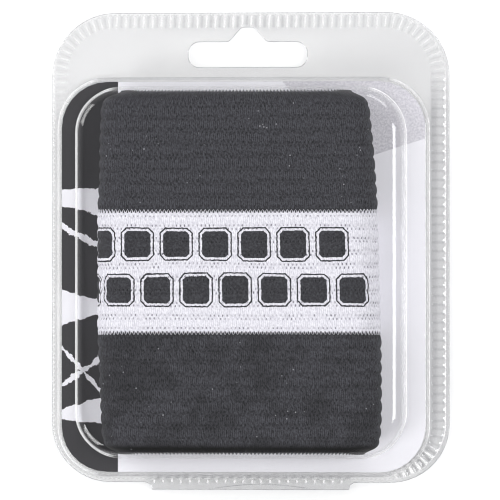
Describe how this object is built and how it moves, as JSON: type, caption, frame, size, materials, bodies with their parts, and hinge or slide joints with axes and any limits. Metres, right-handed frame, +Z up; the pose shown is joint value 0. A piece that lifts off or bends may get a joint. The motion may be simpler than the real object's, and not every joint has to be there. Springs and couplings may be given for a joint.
{
  "type": "captain armband in clear clamshell pack with insert card",
  "caption": "Wide knitted elastic captain armband with black and white bands, pressed flat on a card inside a clear crimped clamshell pack with a hang slot.",
  "frame": {"origin": "middle of the pack's flat back, on the surface that it lies on", "axes": "+X across the pack, +Y towards the hang slot, +Z up through the bubble"},
  "size_m": [0.106, 0.1272, 0.0163],
  "materials": {
    "elastic_black": "matte ribbed knit, charcoal black",
    "elastic_white": "matte ribbed knit, white",
    "card_print": "smooth printed board, pale grey with charcoal shapes",
    "clear_sheet": "clear glossy thermoformed sheet"
  },
  "bodies": {
    "root": {"upper_band": "elastic_black", "centre_band": "elastic_white", "lower_band": "elastic_black", "insert_card": "card_print", "front_shell": "clear_sheet", "back_shell": "clear_sheet"}
  },
  "joints": []
}
